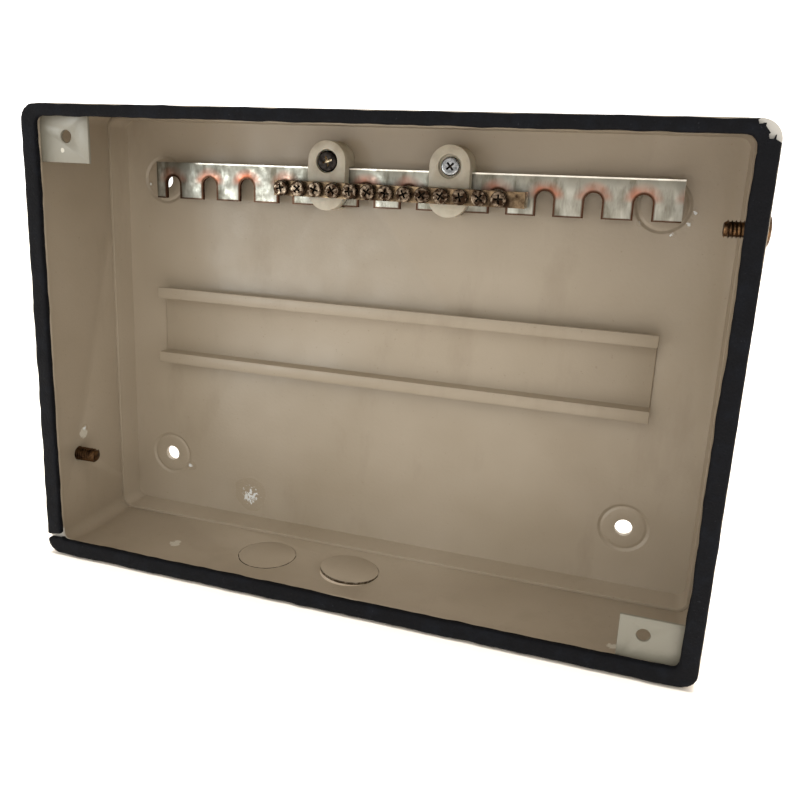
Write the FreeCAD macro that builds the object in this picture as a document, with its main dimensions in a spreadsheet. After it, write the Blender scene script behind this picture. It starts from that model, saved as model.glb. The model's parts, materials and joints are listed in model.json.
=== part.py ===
"""Open-fronted sheet-steel back box of a twelve-way breaker panel.

Frame: the origin is the centre of the wall-mounting plane. +X is to the right, +Z is up,
and the open front faces -Y. Every length is in millimetres.
"""
import FreeCAD
import Part
import Sketcher
import math
import os

Vector = FreeCAD.Vector

# Driving dimensions: (alias, millimetres or degrees)
DIMENSIONS = [
    ("box_x", 3.8),                 # the walls' middle, to the right of the wall holes' middle
    ("box_width", 264.0),
    ("box_height", 185.0),
    ("box_depth", 63.2),            # wall-mounting plane to the front rim
    ("sheet_gauge", 1.2),
    ("corner_radius", 6.5),
    ("lip_width", 6.0),             # front lip, measured in from the outer wall
    ("lip_corner", 2.5),
    ("standoff", 1.5),              # height of the pressed feet round the wall holes
    ("foot_radius", 8.8),
    ("dimple_radius", 11.0),
    ("wall_hole_radius", 3.5),
    ("wall_hole_x", 106.5),
    ("wall_hole_z", 65.0),
    ("tray_flange", 13.8),          # back panel's edge, turned forward inside the walls
    ("lap_gap", 0.05),
    ("gasket_width", 6.0),
    ("gasket_thick", 3.0),
    ("gasket_corner", 14.0),        # how far the top and bottom strips reach down the sides
    ("knockout_radius", 12.5),
    ("knockout_slit", 0.2),
    ("tie_overlap", 0.6),           # how far a tie runs into its disc
    ("tie_width", 1.6),
    ("knockout_y", -33.9),
    ("knockout_left_x", -39.5),
    ("knockout_right_x", -1.2),
    ("struck_tie_angle", 40.0),     # where the struck knock-out still hangs, from +X
    ("struck_lift", 5.3),           # how far it is bent in
    ("rail_length", 218.0),
    ("rail_x", 1.8),
    ("rail_width", 35.0),
    ("rail_hat", 27.0),
    ("rail_depth", 7.5),
    ("rail_gauge", 1.0),
    ("lug_length", 26.2),
    ("lug_height", 20.3),
    ("lug_flange", 10.0),
    ("lug_hole_radius", 2.4),
    ("lug_left_hole_x", -110.8),
    ("lug_left_hole_z", 80.6),
    ("lug_right_hole_x", 116.7),
    ("lug_right_hole_z", -77.4),
    ("comb_length", 220.0),
    ("comb_left_x", -106.7),
    ("comb_thick", 1.5),
    ("comb_front_y", -8.85),
    ("comb_bottom_z", 58.0),
    ("comb_lean", 0.5),             # how far the loose comb has tipped, in degrees
    ("comb_pivot_x", -36.2),        # the comb's height is true here
    ("comb_top_z", 73.4),
    ("comb_pitch", 18.0),           # one breaker module
    ("comb_first_x", -98.6),
    ("notch_radius", 3.3),
    ("notch_top_z", 67.5),
    ("support_width", 16.2),
    ("support_left_x", -24.2),
    ("support_right_x", 26.8),
    ("support_front_y", -14.0),
    ("support_bottom_z", 56.4),
    ("support_channel_y", -9.3),
    ("support_channel_low", 57.6),
    ("support_channel_high", 74.05),
    ("ear_screw_z", 75.9),
    ("ear_recess_radius", 4.6),
    ("ear_recess_depth", 2.4),
    ("ear_hole_radius", 1.8),
    ("ear_head_radius_left", 4.2),
    ("ear_head_thick_left", 1.9),
    ("ear_head_radius_right", 3.6),
    ("ear_head_thick_right", 1.7),
    ("ear_screw_tip_y", -0.5),
    ("bar_left_x", -44.5),
    ("bar_length", 102.0),
    ("bar_rear_y", -11.8),
    ("bar_depth", 8.0),
    ("bar_height", 6.0),
    ("bar_z", 64.7),
    ("terminal_first_x", -40.8),
    ("terminal_pitch", 7.4),
    ("terminal_shank_radius", 1.7),
    ("terminal_fit", 0.05),
    ("terminal_head_radius", 3.0),
    ("terminal_head_thick", 1.9),
    ("terminal_head_gap", 0.4),
    ("cross_width", 0.8),
    ("cross_length", 3.6),
    ("cross_depth", 1.1),
    ("terminal_tip_y", -14.9),
    ("terminal_tip_room", 0.3),     # the screw hole goes this much deeper than the tip
    ("wire_hole_radius", 1.95),
    ("wire_hole_y", -15.8),
    ("earth_right_y", -37.6),
    ("earth_left_y", -44.3),
    ("earth_right_z", 59.6),
    ("earth_left_z", -54.3),
    ("earth_radius", 3.0),
    ("earth_head_radius", 5.5),
    ("earth_head_thick", 3.6),
    ("earth_head_crown", 2.2),
    ("earth_point", 0.8),
    ("earth_inside", 9.3),          # thread standing out inside the wall
]
COMB_WAYS = 12
TERMINALS = 13
INTACT_TIES = 6
FIRST_TIE_ANGLE = 20.0
PASSES = 4                          # a big document can need more than one recompute
CORNERS = ((1, 1), (1, -1), (-1, 1), (-1, -1))

document = FreeCAD.newDocument("breaker_panel_box")
sheet = document.addObject("Spreadsheet::Sheet", "sizes")
for row, (alias, amount) in enumerate(DIMENSIONS, start=1):
    sheet.set("A%d" % row, alias)
    sheet.set("B%d" % row, str(amount))
    sheet.setAlias("B%d" % row, alias)
document.recompute()
SIZE = dict(DIMENSIONS)
parts = []


def bind(feature, **expressions):
    """Drive a feature's sizes from the sheet; bare aliases become sheet references."""
    for place, expression in expressions.items():
        feature.setExpression(place, in_sheet(expression))


def in_sheet(expression):
    """The expression with every alias written as a reference to the sheet."""
    words = expression.split()
    return " ".join("sizes." + word if word in SIZE else word for word in words)


def new_body(label):
    """Start one sub-part."""
    body = document.addObject("PartDesign::Body", label)
    body.Label = label
    parts.append(body)
    return body


def attach(feature, body, role, across="0", up="0", out="0"):
    """Put a feature on one of its body's origin planes, shifted by three expressions."""
    plane = [item for item in body.Origin.OriginFeatures if item.Role == role][0]
    feature.AttachmentSupport = [(plane, "")]
    feature.MapMode = "FlatFace"
    for axis, expression in zip("xyz", (across, up, out)):
        feature.setExpression("AttachmentOffset.Base." + axis, in_sheet(expression))


def turn(feature, degrees):
    """Turn an attached feature in its own plane."""
    offset = feature.AttachmentOffset
    offset.Rotation = FreeCAD.Rotation(Vector(0, 0, 1), degrees)
    feature.AttachmentOffset = offset


def fix(sketch, kind, places, expression):
    """Add one dimension to a sketch and drive it from the sheet."""
    index = sketch.addConstraint(Sketcher.Constraint(kind, *places, 1.0))
    sketch.setExpression("Constraints[%d]" % index, in_sheet(expression))


def outline(body, name, role, corners, out="0"):
    """A closed straight-sided sketch through corners given as pairs of expressions."""
    sketch = body.newObject("Sketcher::SketchObject", name)
    attach(sketch, body, role, out=out)
    count = len(corners)
    ring = [Vector(10 * math.cos(2 * math.pi * k / count), 10 * math.sin(2 * math.pi * k / count), 0)
            for k in range(count)]
    for k in range(count):
        sketch.addGeometry(Part.LineSegment(ring[k], ring[(k + 1) % count]), False)
    for k in range(count):
        sketch.addConstraint(Sketcher.Constraint("Coincident", k, 2, (k + 1) % count, 1))
    for k, (across, up) in enumerate(corners):
        fix(sketch, "DistanceX", (-1, 1, k, 1), across)
        fix(sketch, "DistanceY", (-1, 1, k, 1), up)
    return sketch


def rounded_loop(sketch, width, height, radius):
    """Add a rounded rectangle centred on the sketch's origin."""
    first = sketch.GeometryCount
    half_x, half_y, bend = 60.0, 40.0, 5.0
    centres = [(half_x - bend, -half_y + bend), (half_x - bend, half_y - bend),
               (-half_x + bend, half_y - bend), (-half_x + bend, -half_y + bend)]
    ends = [(-half_x + bend, -half_y), (half_x - bend, -half_y), (half_x, -half_y + bend),
            (half_x, half_y - bend), (half_x - bend, half_y), (-half_x + bend, half_y),
            (-half_x, half_y - bend), (-half_x, -half_y + bend)]
    for k in range(4):
        start, stop = ends[2 * k], ends[2 * k + 1]
        sketch.addGeometry(Part.LineSegment(Vector(*start, 0), Vector(*stop, 0)), False)
    for k, centre in enumerate(centres):
        circle = Part.Circle(Vector(*centre, 0), Vector(0, 0, 1), bend)
        begin = -math.pi / 2 + k * math.pi / 2
        sketch.addGeometry(Part.ArcOfCircle(circle, begin, begin + math.pi / 2), False)
    for k in range(4):
        sketch.addConstraint(Sketcher.Constraint("Tangent", first + k, 2, first + 4 + k, 1))
        sketch.addConstraint(Sketcher.Constraint("Tangent", first + 4 + k, 2, first + (k + 1) % 4, 1))
    for k in (0, 2):
        sketch.addConstraint(Sketcher.Constraint("Horizontal", first + k))
        sketch.addConstraint(Sketcher.Constraint("Vertical", first + k + 1))
    for k in range(3):
        sketch.addConstraint(Sketcher.Constraint("Equal", first + 4 + k, first + 5 + k))
    sketch.addConstraint(Sketcher.Constraint("Symmetric", first + 5, 3, first + 7, 3, -1, 1))
    fix(sketch, "DistanceX", (first + 3, 1, first + 1, 1), width)
    fix(sketch, "DistanceY", (first + 0, 1, first + 2, 1), height)
    fix(sketch, "Radius", (first + 4,), radius)


def ring_sketch(body, name, out, loops):
    """A sketch on the XZ plane made of one or two rounded rectangles."""
    sketch = body.newObject("Sketcher::SketchObject", name)
    attach(sketch, body, "XZ_Plane", across="box_x", out=out)
    for width, height, radius in loops:
        rounded_loop(sketch, width, height, radius)
    return sketch


def pad(body, name, sketch, length):
    """Raise a sketch along its own normal."""
    document.recompute()
    feature = body.newObject("PartDesign::Pad", name)
    feature.Profile = sketch
    bind(feature, Length=length)
    return feature


def pocket(body, name, sketch, length):
    """Cut a sketch out of the body, and make sure that it really cut something."""
    document.recompute()
    before = body.Shape.Volume
    feature = body.newObject("PartDesign::Pocket", name)
    feature.Profile = sketch
    bind(feature, Length=length)
    document.recompute()
    if not feature.Shape.Volume < before - 0.01:
        raise RuntimeError(name + " cuts nothing")
    return feature


def cylinder(body, name, kind, role, spot, radius, length):
    """An additive or subtractive cylinder standing on one of the body's origin planes."""
    feature = body.newObject("PartDesign::%sCylinder" % kind, name)
    attach(feature, body, role, *spot)
    bind(feature, Radius=radius, Height=length)
    return feature


def cone(body, name, kind, role, spot, start_radius, end_radius, length):
    """An additive or subtractive cone; the start radius is the one on the plane."""
    feature = body.newObject("PartDesign::%sCone" % kind, name)
    attach(feature, body, role, *spot)
    bind(feature, Radius1=start_radius, Radius2=end_radius, Height=length)
    return feature


def box(body, name, kind, role, spot, size):
    """An additive or subtractive box with one corner at the spot."""
    feature = body.newObject("PartDesign::%sBox" % kind, name)
    attach(feature, body, role, *spot)
    bind(feature, Length=size[0], Width=size[1], Height=size[2])
    return feature


def signed(side, alias):
    """The alias, turned negative for the left or lower side."""
    return alias if side > 0 else "-1 * " + alias


def wall_wrap():
    """Four walls bent from one strip, with the narrow front lip and the punched holes."""
    body = new_body("wall_wrap")
    outer = ("box_width", "box_height", "corner_radius")
    inner = ("box_width - 2 * sheet_gauge", "box_height - 2 * sheet_gauge",
             "corner_radius - sheet_gauge")
    mouth = ("box_width - 2 * lip_width", "box_height - 2 * lip_width", "lip_corner")
    walls = ring_sketch(body, "wall_section", "standoff", [outer, inner])
    pad(body, "walls", walls, "box_depth - standoff - sheet_gauge")
    lip = ring_sketch(body, "lip_section", "box_depth - sheet_gauge", [outer, mouth])
    pad(body, "front_lip", lip, "sheet_gauge")
    for level in ("-0.5 * box_height - 1", "0.5 * box_height - sheet_gauge - 1"):
        for side in ("left", "right"):
            spot = ("knockout_%s_x" % side, "knockout_y", level)
            name = "knockout_opening_%s_%d" % (side, level.startswith("-"))
            cylinder(body, name, "Subtractive", "XY_Plane", spot, "knockout_radius", "sheet_gauge + 2")
    right = ("earth_right_y", "earth_right_z", "box_x + 0.5 * box_width - sheet_gauge - 1")
    left = ("earth_left_y", "earth_left_z", "box_x - 0.5 * box_width - 1")
    radius = "earth_radius + terminal_fit"
    cylinder(body, "earth_hole_right", "Subtractive", "YZ_Plane", right, radius, "sheet_gauge + 2")
    cylinder(body, "earth_hole_left", "Subtractive", "YZ_Plane", left, radius, "sheet_gauge + 2")
    return body


def back_panel():
    """Shallow tray that closes the back: edge turned forward, four pressed feet, screw holes."""
    body = new_body("back_panel")
    width = "box_width - 2 * sheet_gauge - 2 * lap_gap"
    height = "box_height - 2 * sheet_gauge - 2 * lap_gap"
    outer = (width, height, "corner_radius - sheet_gauge - lap_gap")
    inner = (width + " - 2 * sheet_gauge", height + " - 2 * sheet_gauge",
             "corner_radius - 2 * sheet_gauge - lap_gap")
    plate = ring_sketch(body, "plate_outline", "standoff", [outer])
    pad(body, "plate", plate, "sheet_gauge")
    edge = ring_sketch(body, "flange_section", "standoff + sheet_gauge", [outer, inner])
    pad(body, "flange", edge, "tray_flange - sheet_gauge")
    for number, (side_x, side_z) in enumerate(CORNERS):
        spot = (signed(side_x, "wall_hole_x"), signed(side_z, "wall_hole_z"))
        cone(body, "foot_%d" % number, "Additive", "XZ_Plane", spot + ("0",),
             "foot_radius", "dimple_radius", "standoff")
        cone(body, "dimple_%d" % number, "Subtractive", "XZ_Plane", spot + ("sheet_gauge",),
             "foot_radius - 0.5 * sheet_gauge", "dimple_radius - 0.5 * sheet_gauge", "standoff")
        cylinder(body, "wall_hole_%d" % number, "Subtractive", "XZ_Plane", spot + ("-1",),
                 "wall_hole_radius", "standoff + sheet_gauge + 2")
    for side in ("left", "right"):
        spot = ("support_%s_x" % side, "ear_screw_z", "0")
        cylinder(body, "support_hole_" + side, "Subtractive", "XZ_Plane", spot,
                 "ear_hole_radius", "standoff + sheet_gauge + 1")
    return body


def din_rail():
    """Top-hat rail of 35 mm, folded from sheet; its web lies on the back panel."""
    body = new_body("din_rail")
    rear = "-1 * standoff - sheet_gauge"
    front = rear + " - rail_depth"
    brim = front + " + rail_gauge"
    web = rear + " - rail_gauge"
    half = [(rear, "0.5 * rail_hat"), (brim, "0.5 * rail_hat"), (brim, "0.5 * rail_width"),
            (front, "0.5 * rail_width"), (front, "0.5 * rail_hat - rail_gauge"),
            (web, "0.5 * rail_hat - rail_gauge")]
    lower = [(across, "-1 * ( %s )" % up) for across, up in reversed(half)]
    section = outline(body, "rail_section", "YZ_Plane", half + lower, "rail_x - 0.5 * rail_length")
    pad(body, "rail", section, "rail_length")
    return body


def gasket(name, keep):
    """One strip of foam on the front lip, cut from the whole ring by the boxes in keep."""
    body = new_body(name)
    outer = ("box_width", "box_height", "corner_radius")
    inner = ("box_width - 2 * gasket_width", "box_height - 2 * gasket_width", "lip_corner")
    ring = ring_sketch(body, "foam_section", "box_depth", [outer, inner])
    pad(body, "foam", ring, "gasket_thick")
    for number, (low_x, low_z, width, height) in enumerate(keep):
        box(body, "trim_%d" % number, "Subtractive", "XZ_Plane", (low_x, low_z, "box_depth - 1"),
            (width, height, "gasket_thick + 2"))
    return body


def gaskets():
    """Four strips: top and bottom run corner to corner, the sides butt between them."""
    whole = "box_width + 20"
    left = "box_x - 0.5 * box_width - 10"
    low = "-0.5 * box_height - 10"
    high = "0.5 * box_height - gasket_corner"
    side_length = "box_height - 2 * gasket_corner"
    tall = "box_height + 20 - gasket_corner"
    gasket("gasket_top", [(left, low, whole, "box_height + 10 - gasket_corner")])
    gasket("gasket_bottom", [(left, "-0.5 * box_height + gasket_corner", whole, tall)])
    for name, away in (("gasket_left", "box_x - 0.5 * box_width + gasket_width + 1"),
                       ("gasket_right", left)):
        gasket(name, [(left, high, whole, "gasket_corner + 10"),
                      (left, low, whole, "gasket_corner + 10"),
                      (away, "-0.5 * box_height", "box_width + 9 - gasket_width",
                       side_length + " + 40")])


def cover_lug(name, side):
    """Angle plate behind the lip in one corner, with the hole for a cover screw."""
    body = new_body(name)
    face = "-1 * box_depth + sheet_gauge + lap_gap"
    towards = " - " if side > 0 else " + "
    wall = "box_x + %d * ( 0.5 * box_width - sheet_gauge - lap_gap )" % side
    corners = [(wall, face), (wall, face + " + lug_flange"),
               (wall + towards + "sheet_gauge", face + " + lug_flange"),
               (wall + towards + "sheet_gauge", face + " + sheet_gauge"),
               (wall + towards + "lug_length", face + " + sheet_gauge"),
               (wall + towards + "lug_length", face)]
    edge = "0.5 * box_height - sheet_gauge - lap_gap"
    low = "-1 * ( %s )" % edge if side > 0 else edge + " - lug_height"
    section = outline(body, "lug_section", "XY_Plane", corners, low)
    pad(body, "angle", section, "lug_height")
    corner_x = "( %s )" % wall
    corner_z = "-1 * ( %s )" % edge if side > 0 else edge
    inward_x, inward_z = (" - ", " + ") if side > 0 else (" + ", " - ")
    outward_x, outward_z = inward_z, inward_x
    clip = "corner_radius - sheet_gauge - lap_gap + 1"
    corners = [(corner_x + outward_x + "1", corner_z + inward_z + "( %s )" % clip),
               (corner_x + outward_x + "1", corner_z + outward_z + "1"),
               (corner_x + inward_x + "( %s )" % clip, corner_z + outward_z + "1")]
    pocket(body, "clipped_corner", outline(body, "corner_outline", "XZ_Plane", corners, "box_depth"),
           "lug_flange + 5")
    alias = "right" if side > 0 else "left"
    spot = ("lug_%s_hole_x" % alias, "lug_%s_hole_z" % alias, "box_depth - 2 * sheet_gauge - 1")
    cylinder(body, "cover_hole", "Subtractive", "XZ_Plane", spot, "lug_hole_radius", "sheet_gauge + 2")
    return body


def comb_busbar():
    """Tinned copper strip with one arched notch for each breaker, open downwards."""
    body = new_body("comb_busbar")
    right = "comb_left_x + comb_length"
    corners = [("comb_left_x", "comb_bottom_z"), (right, "comb_bottom_z"),
               (right, "comb_top_z"), ("comb_left_x", "comb_top_z")]
    strip = outline(body, "strip_outline", "XZ_Plane", corners, "-1 * comb_front_y - comb_thick")
    pad(body, "strip", strip, "comb_thick")
    start = "-1 * comb_front_y - comb_thick - 1"
    for way in range(COMB_WAYS):
        centre = "comb_first_x + %d * comb_pitch" % way
        cylinder(body, "notch_arch_%d" % way, "Subtractive", "XZ_Plane",
                 (centre, "notch_top_z - notch_radius", start), "notch_radius", "comb_thick + 2")
        box(body, "notch_%d" % way, "Subtractive", "XZ_Plane",
            (centre + " - notch_radius", "comb_bottom_z - 1", start),
            ("2 * notch_radius", "notch_top_z - notch_radius - comb_bottom_z + 1", "comb_thick + 2"))
    pivot = Vector(SIZE["comb_pivot_x"], 0, SIZE["comb_bottom_z"])
    lean = FreeCAD.Rotation(Vector(0, -1, 0), SIZE["comb_lean"])
    body.Placement = FreeCAD.Placement(Vector(0, 0, 0), lean, pivot)
    return body


def neutral_bar():
    """Brass bar with a wire hole and a clamping-screw hole at each terminal."""
    body = new_body("neutral_bar")
    front = "bar_depth - bar_rear_y"
    low = "bar_z - 0.5 * bar_height"
    box(body, "bar", "Additive", "XZ_Plane", ("bar_left_x", low, "-1 * bar_rear_y"),
        ("bar_length", "bar_height", "bar_depth"))
    for number in range(TERMINALS):
        centre = "terminal_first_x + %d * terminal_pitch" % number
        cylinder(body, "wire_hole_%d" % number, "Subtractive", "XY_Plane",
                 (centre, "wire_hole_y", low + " - 1"), "wire_hole_radius", "bar_height + 2")
        cylinder(body, "screw_hole_%d" % number, "Subtractive", "XZ_Plane",
                 (centre, "bar_z", "-1 * terminal_tip_y - terminal_tip_room"),
                 "terminal_shank_radius + terminal_fit",
                 front + " + terminal_tip_y + terminal_tip_room + 1")
    return body


def terminal_screw(number):
    """Pan-head clamping screw of one terminal."""
    body = new_body("terminal_screw_%02d" % (number + 1))
    centre = "terminal_first_x + %d * terminal_pitch" % number
    under = "bar_depth - bar_rear_y + terminal_head_gap"
    cylinder(body, "shank", "Additive", "XZ_Plane", (centre, "bar_z", "-1 * terminal_tip_y"),
             "terminal_shank_radius", under + " + terminal_tip_y")
    cylinder(body, "head", "Additive", "XZ_Plane", (centre, "bar_z", under),
             "terminal_head_radius", "terminal_head_thick")
    floor = under + " + terminal_head_thick - cross_depth"
    for name, wide, tall in (("slot", "cross_width", "cross_length"),
                             ("cross_slot", "cross_length", "cross_width")):
        box(body, name, "Subtractive", "XZ_Plane",
            (centre + " - 0.5 * " + wide, "bar_z - 0.5 * " + tall, floor),
            (wide, tall, "cross_depth + 1"))
    return body


def bar_support(side):
    """Moulded support: rounded ear with a screw recess, slot for the bar, channel behind."""
    body = new_body("bar_support_" + side)
    centre = "support_%s_x" % side
    foot = "standoff + sheet_gauge"
    radius = "0.5 * support_width"
    deep = "-1 * support_front_y - " + foot.replace(" + ", " - ")
    low = "support_bottom_z + " + radius
    cylinder(body, "round_top", "Additive", "XZ_Plane", (centre, "ear_screw_z", foot), radius, deep)
    cylinder(body, "round_bottom", "Additive", "XZ_Plane", (centre, low, foot), radius, deep)
    box(body, "web", "Additive", "XZ_Plane", (centre + " - " + radius, low, foot),
        ("support_width", "ear_screw_z - support_bottom_z - " + radius, deep))
    box(body, "channel", "Subtractive", "XZ_Plane",
        (centre + " - support_width", "support_channel_low", foot + " - 1"),
        ("2 * support_width", "support_channel_high - support_channel_low",
         "-1 * support_channel_y - standoff - sheet_gauge + 1"))
    box(body, "bar_slot", "Subtractive", "XZ_Plane",
        (centre + " - support_width", "bar_z - 0.5 * bar_height - lap_gap", "-1 * bar_rear_y"),
        ("2 * support_width", "bar_height + 2 * lap_gap", "bar_depth"))
    cylinder(body, "screw_hole", "Subtractive", "XZ_Plane", (centre, "ear_screw_z", "0"),
             "ear_hole_radius", "-1 * support_front_y")
    cylinder(body, "screw_recess", "Subtractive", "XZ_Plane",
             (centre, "ear_screw_z", "-1 * support_front_y - ear_recess_depth"),
             "ear_recess_radius", "ear_recess_depth + 1")
    return body


def support_screw(side):
    """Pan-head screw in the ear's recess, through the support into the back panel."""
    body = new_body("support_screw_" + side)
    centre = "support_%s_x" % side
    seat = "-1 * support_front_y - ear_recess_depth"
    cylinder(body, "shank", "Additive", "XZ_Plane", (centre, "ear_screw_z", "-1 * ear_screw_tip_y"),
             "ear_hole_radius - lap_gap", seat + " + ear_screw_tip_y")
    cylinder(body, "head", "Additive", "XZ_Plane", (centre, "ear_screw_z", seat),
             "ear_head_radius_" + side, "ear_head_thick_" + side)
    return body


def edge_name(shape, place):
    """Name of the round edge whose centre lies at that x."""
    for number, edge in enumerate(shape.Edges, start=1):
        if edge.Curve.TypeId == "Part::GeomCircle" and edge.isClosed():
            if abs(edge.Curve.Center.x - place) < 1e-4:
                return "Edge%d" % number
    raise RuntimeError("no such edge")


def earth_screw(side):
    """Screw through a side wall: head outside, thread standing out inside."""
    body = new_body("earth_screw_" + side)
    sign = 1 if side == "right" else -1
    reach = SIZE["box_x"] + sign * (0.5 * SIZE["box_width"] - SIZE["sheet_gauge"] - SIZE["earth_inside"])
    crest = SIZE["box_x"] + sign * (0.5 * SIZE["box_width"] + SIZE["earth_head_thick"])
    tip = "box_x + %d * ( 0.5 * box_width - sheet_gauge - earth_inside )" % sign
    axis = "earth_%s_y" % side
    height = "earth_%s_z" % side
    length = "earth_inside + sheet_gauge"
    shank_start = tip if sign > 0 else "box_x - 0.5 * box_width"
    head_start = "box_x + 0.5 * box_width" if sign > 0 else "box_x - 0.5 * box_width - earth_head_thick"
    cylinder(body, "thread", "Additive", "YZ_Plane", (axis, height, shank_start), "earth_radius", length)
    head = cylinder(body, "head", "Additive", "YZ_Plane", (axis, height, head_start),
                    "earth_head_radius", "earth_head_thick")
    document.recompute()
    point = body.newObject("PartDesign::Chamfer", "point")
    point.Base = (head, [edge_name(head.Shape, reach)])
    bind(point, Size="earth_point")
    document.recompute()
    crown = body.newObject("PartDesign::Fillet", "crown")
    crown.Base = (point, [edge_name(point.Shape, crest)])
    bind(crown, Radius="earth_head_crown")
    return body


def knockout(name, side, level, ties):
    """Punched disc that still hangs in its opening by small ties, at the given angles."""
    body = new_body(name)
    centre = ("knockout_%s_x" % side, "knockout_y", level)
    radius = "knockout_radius - knockout_slit"
    cylinder(body, "disc", "Additive", "XY_Plane", centre, radius, "sheet_gauge")
    reach = "( knockout_radius - knockout_slit - tie_overlap - 0.6 * lap_gap )"
    half = "0.5 * tie_width"
    for number, angle in enumerate(ties):
        cosine, sine = "cos( %g deg )" % angle, "sin( %g deg )" % angle
        corner = ("%s + %s * %s + %s * %s" % (centre[0], reach, cosine, half, sine),
                  "%s + %s * %s - %s * %s" % (centre[1], reach, sine, half, cosine), level)
        tie = box(body, "tie_%d" % number, "Additive", "XY_Plane", corner,
                  ("knockout_slit + tie_overlap", "tie_width", "sheet_gauge"))
        turn(tie, angle)
    return body


def knockouts():
    """Two discs in the bottom wall, one of them struck, and two in the top wall."""
    floor = "-0.5 * box_height"
    roof = "0.5 * box_height - sheet_gauge"
    even = [360.0 * k / INTACT_TIES + FIRST_TIE_ANGLE for k in range(INTACT_TIES)]
    knockout("knockout_bottom_left", "left", floor, even)
    knockout("knockout_top_left", "left", roof, even)
    knockout("knockout_top_right", "right", roof, even)
    angle = SIZE["struck_tie_angle"]
    struck = knockout("knockout_bottom_right", "right", floor, [angle])
    out = Vector(math.cos(math.radians(angle)), math.sin(math.radians(angle)), 0)
    centre = Vector(SIZE["knockout_right_x"], SIZE["knockout_y"], -0.5 * SIZE["box_height"])
    hinge = centre + out * SIZE["knockout_radius"] + Vector(0, 0, SIZE["sheet_gauge"])
    lift = FreeCAD.Rotation(Vector(0, 0, 1).cross(out), SIZE["struck_lift"])
    struck.Placement = FreeCAD.Placement(Vector(0, 0, 0), lift, hinge)


def check_and_export():
    """Stop on any failed feature, then write one STEP file for each sub-part."""
    for _ in range(PASSES):
        document.recompute()
        failed = [item for item in document.Objects if set(item.State) & {"Invalid", "Error"}]
        if not failed:
            break
        for item in failed:
            item.touch()
    if failed:
        raise RuntimeError("%s failed: %s" % (failed[0].Name, failed[0].State))
    os.makedirs("parts", exist_ok=True)
    for body in parts:
        shape = body.Shape
        if shape.isNull() or not shape.isValid():
            raise RuntimeError(body.Label + " has no valid shape")
        print("%-24s %d solid(s) %10.1f mm3" % (body.Label, len(shape.Solids), shape.Volume))
        shape.exportStep("parts/%s.step" % body.Label)


wall_wrap()
back_panel()
din_rail()
gaskets()
cover_lug("cover_lug_top_left", -1)
cover_lug("cover_lug_bottom_right", 1)
comb_busbar()
neutral_bar()
for terminal in range(TERMINALS):
    terminal_screw(terminal)
bar_support("left")
bar_support("right")
support_screw("left")
support_screw("right")
earth_screw("right")
earth_screw("left")
knockouts()
check_and_export()
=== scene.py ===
import json
import math

import bmesh
import bpy
from mathutils import Matrix, Vector

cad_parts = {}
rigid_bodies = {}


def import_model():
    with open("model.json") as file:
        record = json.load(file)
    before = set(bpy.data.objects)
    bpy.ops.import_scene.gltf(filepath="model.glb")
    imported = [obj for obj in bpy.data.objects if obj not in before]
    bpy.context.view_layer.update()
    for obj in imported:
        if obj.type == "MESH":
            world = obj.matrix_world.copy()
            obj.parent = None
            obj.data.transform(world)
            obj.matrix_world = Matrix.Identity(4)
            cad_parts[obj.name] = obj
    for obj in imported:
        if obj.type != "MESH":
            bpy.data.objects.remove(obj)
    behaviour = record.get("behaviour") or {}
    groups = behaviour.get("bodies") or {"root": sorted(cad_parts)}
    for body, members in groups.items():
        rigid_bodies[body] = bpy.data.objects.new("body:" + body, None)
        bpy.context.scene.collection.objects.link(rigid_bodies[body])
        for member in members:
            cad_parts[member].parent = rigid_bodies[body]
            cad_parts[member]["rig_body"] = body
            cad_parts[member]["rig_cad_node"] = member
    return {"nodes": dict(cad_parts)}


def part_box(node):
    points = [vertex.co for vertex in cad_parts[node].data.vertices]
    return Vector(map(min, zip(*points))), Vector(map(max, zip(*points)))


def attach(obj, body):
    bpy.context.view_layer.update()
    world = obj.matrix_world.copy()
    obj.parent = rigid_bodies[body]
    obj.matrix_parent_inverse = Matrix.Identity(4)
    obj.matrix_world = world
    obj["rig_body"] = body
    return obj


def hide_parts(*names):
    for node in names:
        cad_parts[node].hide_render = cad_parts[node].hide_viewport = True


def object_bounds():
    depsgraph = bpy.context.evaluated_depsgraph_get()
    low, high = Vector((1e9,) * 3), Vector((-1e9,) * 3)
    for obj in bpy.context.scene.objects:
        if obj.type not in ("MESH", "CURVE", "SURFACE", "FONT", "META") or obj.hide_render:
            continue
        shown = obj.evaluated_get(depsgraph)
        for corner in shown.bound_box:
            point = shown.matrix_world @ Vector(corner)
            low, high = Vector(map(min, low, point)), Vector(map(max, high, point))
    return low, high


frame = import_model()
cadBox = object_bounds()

mm = 0.001
nodes = frame["nodes"]
scene = bpy.context.scene


# camera, floor and light

camera = {
    "place": (103.05, -322.83, 73.24),  # mm
    "azimuth": 17.528,  # degrees
    "elevation": 14.208,
    "roll": 2.531,
    "lens": 35.97,  # mm on a 36 mm wide sensor
    "shift": (0.0156, -0.0334),
}


def addCamera(settings):
    azimuth = math.radians(settings["azimuth"])
    elevation = math.radians(settings["elevation"])
    roll = math.radians(settings["roll"])
    level = math.cos(elevation)
    back = Vector((math.sin(azimuth) * level, -math.cos(azimuth) * level, math.sin(elevation)))
    right = (-back).cross(Vector((0, 0, 1))).normalized()
    up = right.cross(-back)
    rolledRight = math.cos(roll) * right + math.sin(roll) * up
    rolledUp = -math.sin(roll) * right + math.cos(roll) * up
    data = bpy.data.cameras.new("camera")
    data.sensor_width = 36
    data.lens = settings["lens"]
    data.shift_x, data.shift_y = settings["shift"]
    data.clip_start = 0.01
    taker = bpy.data.objects.new("camera", data)
    turned = Matrix((rolledRight, rolledUp, back)).transposed().to_4x4()
    taker.matrix_world = Matrix.Translation(Vector(settings["place"]) * mm) @ turned
    scene.collection.objects.link(taker)
    scene.camera = taker


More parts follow.
